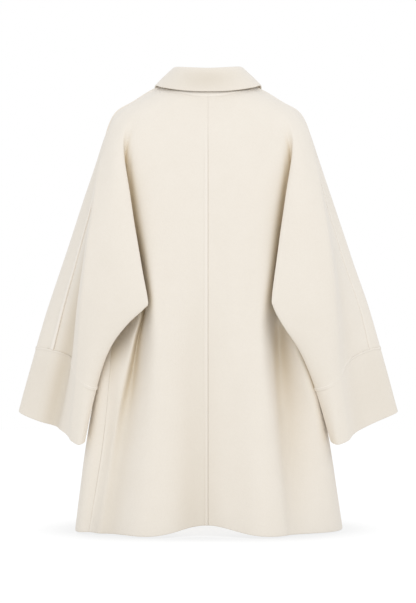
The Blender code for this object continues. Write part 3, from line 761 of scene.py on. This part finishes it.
def edge_finish(cloth, piece, far, used):
    """How a piece is finished at each of its points: the share of its full thickness, the height of its
    felled ridges, what is rim, and the marks for the painted shade and highlight at its seams."""
    body = np.ones(len(used))
    ridge, lap = np.zeros((2, len(used)))
    seam, fell = np.full((2, len(used)), FAR)
    rim = np.zeros(len(used), bool)
    for border, distance in far.items():
        distance = distance[used]
        radius, height, width = BORDERS[border]
        measure, keys = SEAM_SHOWS.get(border, ALL_ALONG)
        shows = np.interp(cloth.at[measure][used], *zip(*keys)) * QUIET.get((border, piece), 1)
        rolled = radius * (SEAM_CLOSED + (1 - SEAM_CLOSED) * shows)
        drawn = DRAWN_UP.get(border, 0)
        round_edge = np.sqrt(1 - (1 - np.minimum(distance / rolled, 1)) ** 2)
        body = np.minimum(body, drawn + (1 - drawn) * round_edge)
        rim |= distance == 0
        if border in FREE_EDGES:
            continue
        faded = (1 - shows) * SEAM_SHADE_REACH
        seam = np.minimum(seam, distance + faded)
        if piece in LAPS_OVER.get(border, ()):
            top = shows * (1 - eased((distance - width) / FELL_FOOT + 1))
            # share of the painted highlight on the ridge, fuller on higher ridges
            lap = np.maximum(lap, top * height / FULL_FELL)
            ridge = np.maximum(ridge, height * top)
            fell = np.minimum(fell, np.abs(distance - width) + faded)
    return body, ridge, rim, {"from_seam": seam, "from_fell": fell, "on_fell": lap}


def shell(name, outer, inner, rim, quads):
    """A closed mesh of an outer and an inner face that share the points of the rim."""
    numbers = np.arange(len(outer))
    under = np.where(rim, numbers, len(outer) + np.cumsum(~rim) - 1)
    both = np.concatenate([outer, inner[~rim]])
    faces = np.concatenate([quads, under[quads][:, ::-1]])
    mesh = bpy.data.meshes.new(name)
    mesh.vertices.add(len(both))
    mesh.vertices.foreach_set("co", both.astype(np.float32).ravel())
    mesh.loops.add(len(faces) * 4)
    mesh.loops.foreach_set("vertex_index", faces.astype(np.int32).ravel())
    mesh.polygons.add(len(faces))
    mesh.polygons.foreach_set("loop_start", np.arange(0, len(faces) * 4, 4, dtype=np.int32))
    mesh.update(calc_edges=True)
    mesh.validate()
    mesh.shade_smooth()
    return mesh


def cloth_piece(cloth, piece, normals, painted_trough_shades, thickness, finish):
    """One sheet of cloth: outer and inner face, rolled together at its edges, with its felled ridges."""
    far, own = cloth.distances(piece)
    used, quads = np.unique(cloth.quads[own].reshape(-1, 4), return_inverse=True)
    body, ridge, rim, marks = edge_finish(cloth, piece, far, used)
    half = thickness / 2
    out = normals[used]
    middle = cloth.points[used] - half * out
    outer = middle + ((half + ridge) * body)[:, None] * out
    inner = middle - (half * body)[:, None] * out
    mesh = shell(piece, outer, inner, rim, quads.reshape(-1, 4))
    marks["painted_trough_shade"] = painted_trough_shades[used]
    for name, values in marks.items():
        attribute = mesh.attributes.new(name, "FLOAT", "POINT")
        attribute.data.foreach_set("value", np.concatenate([values, values[~rim]]).astype(np.float32))
    mesh.materials.append(finish)
    made = placed(piece + "_cloth", mesh)
    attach(made, "root")
    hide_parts(piece)
    width, length, area = CUT[piece]
    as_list(SEWN_TO.get(piece, ()))


class Shade:
    """One output of a node. Sums on it add Math nodes."""

    def __init__(self, nodes, output):
        self.nodes, self.output = nodes, output

    def sum(self, operation, *values):
        """A Math node."""
        return self.nodes.add("ShaderNodeMath", {"operation": operation}, dict(enumerate(values)))

    def __add__(self, other):
        return self.sum("ADD", self, other)

    def __radd__(self, other):
        return self.sum("ADD", other, self)

    def __sub__(self, other):
        return self.sum("SUBTRACT", self, other)

    def __rsub__(self, other):
        return self.sum("SUBTRACT", other, self)

    def __mul__(self, other):
        return self.sum("MULTIPLY", self, other)

    def __rmul__(self, other):
        return self.sum("MULTIPLY", other, self)

    def near(self, reach):
        """From 1 at zero to 0 at reach and beyond."""
        settings = {"interpolation_type": "SMOOTHSTEP"}
        ends = {"From Min": 0.0, "From Max": reach, "To Min": 1.0, "To Max": 0.0}
        return self.nodes.add("ShaderNodeMapRange", settings, {"Value": self, **ends})


class Nodes:
    """The nodes of a finish or of the sky."""

    def __init__(self, tree):
        self.tree = tree

    def add(self, kind, settings, sockets, output=0):
        """A node of one kind: its settings first, then the values or links of its sockets."""
        node = self.tree.nodes.new(kind)
        for name, value in settings.items():
            setattr(node, name, value)
        self.fill(node, sockets)
        return Shade(self, node.outputs[output])

    def fill(self, node, sockets):
        """Sets or links the sockets of a node."""
        for name, value in sockets.items():
            if isinstance(value, Shade):
                self.tree.links.new(value.output, node.inputs[name])
            else:
                node.inputs[name].default_value = value


class Finish(Nodes):
    """A material made of nodes."""

    def __init__(self, name):
        self.material = bpy.data.materials.new(name)
        self.material.use_nodes = True
        super().__init__(self.material.node_tree)
        self.shader = self.tree.nodes["Principled BSDF"]
        self.place = self.add("ShaderNodeTexCoord", {}, {}, "Object")

    def speckle(self, size, layers, scale):
        """Soft random grain of about a size, from 0 to 1."""
        drawn = self.add("ShaderNodeVectorMath", {"operation": "MULTIPLY"}, {0: self.place, 1: scale})
        return self.add("ShaderNodeTexNoise", {}, {"Vector": drawn, "Scale": 1 / size, "Detail": layers,
                                                   "Roughness": GRAIN_BITE})

    def mark(self, name):
        """What a sheet of cloth has marked on its points under a name."""
        return self.add("ShaderNodeAttribute", {"attribute_name": name}, {}, "Fac")

    def open_air(self, reach, own):
        """From 0 where a point is shut in to 1 in the open: by its own piece, or by all that is near."""
        return self.add("ShaderNodeAmbientOcclusion", {"samples": AIR_SAMPLES, "only_local": own},
                        {"Distance": reach}, "AO")

    def blend(self, share, first, second):
        """Two colours mixed."""
        return self.add("ShaderNodeMix", {"data_type": "RGBA"}, {0: share, 6: first, 7: second}, 2)


def wool():
    """Cream double-faced wool with a brushed nap."""
    finish = Finish("cream_wool")
    cloud = finish.speckle(*CLOUD)
    fleece = finish.speckle(*FLEECE)
    nap = finish.speckle(*NAP)
    in_seam = finish.mark("from_seam").near(SEAM_SHADE_REACH)
    at_foot = finish.mark("from_fell").near(SEAM_SHADE_REACH)
    cream = finish.blend(cloud * EVEN_MIX + fleece * EVEN_MIX, WOOL_DEEP, WOOL_LIGHT)
    fibred = finish.blend(nap * EVEN_MIX, cream, WOOL_FIBRE)
    # painted highlight on the felled ridges
    pressed = finish.blend(finish.mark("on_fell") * FELL_HIGHLIGHT_SHARE, fibred, WOOL_RIDGE_HIGHLIGHT)
    # painted shade in the seams and at the foot of their ridges
    seam_shaded = finish.blend(in_seam * SEAM_SHADE + at_foot * FELL_SHADE, pressed, WOOL_SEAM_SHADE)
    # painted shade in the troughs of the soft folds and in the valleys listed with them
    laid = finish.blend(finish.mark("painted_trough_shade") * PAINTED_TROUGH_SHADE_SHARE, seam_shaded, WOOL_PAINTED_TROUGH_SHADE)
    # painted shade in the folds, darker and warmer where the cloth's own piece shuts a point in
    fold_shade_mask = 1 - finish.open_air(PAINTED_SHADE_REACH, own=True)
    colour = finish.blend(fold_shade_mask * (fold_shade_mask * PAINTED_DEEP_SHADE_SHARE + PAINTED_FOLD_SHADE_SHARE), laid, WOOL_PAINTED_FOLD_SHADE)
    bump = finish.add("ShaderNodeBump", {}, {"Strength": NAP_STRENGTH, "Distance": NAP_HEIGHT,
                                             "Height": nap * EVEN_MIX + fleece * EVEN_MIX})
    rough = WOOL_ROUGHNESS + fleece * FLEECE_ROUGHNESS
    finish.fill(finish.shader, {"Base Color": colour, "Roughness": rough, "Normal": bump,
                                "Specular IOR Level": WOOL_GLOSS, "Sheen Weight": WOOL_SHEEN,
                                "Sheen Roughness": WOOL_SHEEN_ROUGHNESS})
    return finish.material


def paper():
    """White paper that glows softly, grey where the coat shades it."""
    finish = Finish("white_paper")
    white = finish.blend(finish.speckle(*PAPER_TOOTH), PAPER_DEEP, PAPER_LIGHT)
    open_floor = finish.open_air(FLOOR_SHADE_REACH, own=False)
    shaded = finish.blend(open_floor * FLOOR_SHADE_GAIN - (FLOOR_SHADE_GAIN - 1), PAPER_SHADED, white)
    seen = finish.add("ShaderNodeLightPath", {}, {}, "Is Camera Ray")
    glow = finish.blend(seen, FLOOR_BOUNCE, WHITE)
    finish.fill(finish.shader, {"Base Color": shaded, "Roughness": PAPER_ROUGHNESS,
                                "Specular IOR Level": PAPER_GLOSS, "Emission Color": glow,
                                "Emission Strength": FLOOR_GLOW})
    return finish.material


def dress():
    """Lays every piece of cloth over the part."""
    cream = wool()
    panels = Cloth(panels_cage())
    collar = Cloth(collar_cage(panels.points, panels.normals()))
    painted_trough_shades = panels.crease(FOLDS)
    normals = panels.normals()
    for piece in sorted(set(panels.cage.pieces)):
        cloth_piece(panels, piece, normals, painted_trough_shades, CLOTH, cream)
    painted_trough_shades = collar.crease(COLLAR_FOLDS)
    cloth_piece(collar, "collar", collar.normals(), painted_trough_shades, COLLAR_CLOTH, cream)


def set_camera():
    """The camera, level and square behind the coat."""
    camera = placed("camera", bpy.data.cameras.new("camera"))
    camera.data.sensor_fit = "HORIZONTAL"
    camera.data.sensor_width = SENSOR_WIDTH
    camera.data.lens = SENSOR_WIDTH * (STAND_BACK - BACK_DEPTH) / (PICTURE_WIDTH * PIXEL)
    camera.location = (0, -STAND_BACK, MIDDLE)
    camera.rotation_euler = (np.pi / 2, 0, 0)
    bpy.context.scene.camera = camera
    bpy.context.scene.view_settings.view_transform = "Standard"


def lay_floor():
    """A pale floor under the hem."""
    mesh = bpy.data.meshes.new("floor")
    low, high = -FLOOR_REACH, FLOOR_REACH
    corners = [(x, y, FLOOR) for x, y in ((low, low), (high, low), (high, high), (low, high))]
    mesh.from_pydata(corners, [], [(0, 1, 2, 3)])
    mesh.materials.append(paper())
    floor = placed("floor", mesh)
    floor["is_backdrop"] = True


def set_light():
    """An even sky that is seen as white, and soft lamps behind the camera."""
    world = bpy.data.worlds.new("studio")
    world.use_nodes = True
    nodes = Nodes(world.node_tree)
    background = nodes.tree.nodes["Background"]
    nodes.fill(background, {"Color": LIGHT_COLOUR, "Strength": SKY})
    sky = Shade(nodes, background.outputs[0])
    backdrop = nodes.add("ShaderNodeBackground", {}, {"Color": WHITE})
    seen = nodes.add("ShaderNodeLightPath", {}, {}, "Is Camera Ray")
    either = nodes.add("ShaderNodeMixShader", {}, {0: seen, 1: sky, 2: backdrop})
    nodes.fill(nodes.tree.nodes["World Output"], {"Surface": either})
    bpy.context.scene.world = world
    for name, place, aim, size, power in LAMPS:
        lamp = placed(name, bpy.data.lights.new(name, "AREA"))
        lamp.data.size = size
        lamp.data.energy = power
        lamp.data.color = LIGHT_COLOUR[:3]
        lamp.location = place
        lamp.rotation_euler = (Vector(aim) - Vector(place)).to_track_quat("-Z", "Y").to_euler()


dress()
set_camera()
set_light()
lay_floor()
boxes = {"part": part_box, "cloth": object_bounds()}
{name: [list(map(float, corner)) for corner in box] for name, box in boxes.items()}
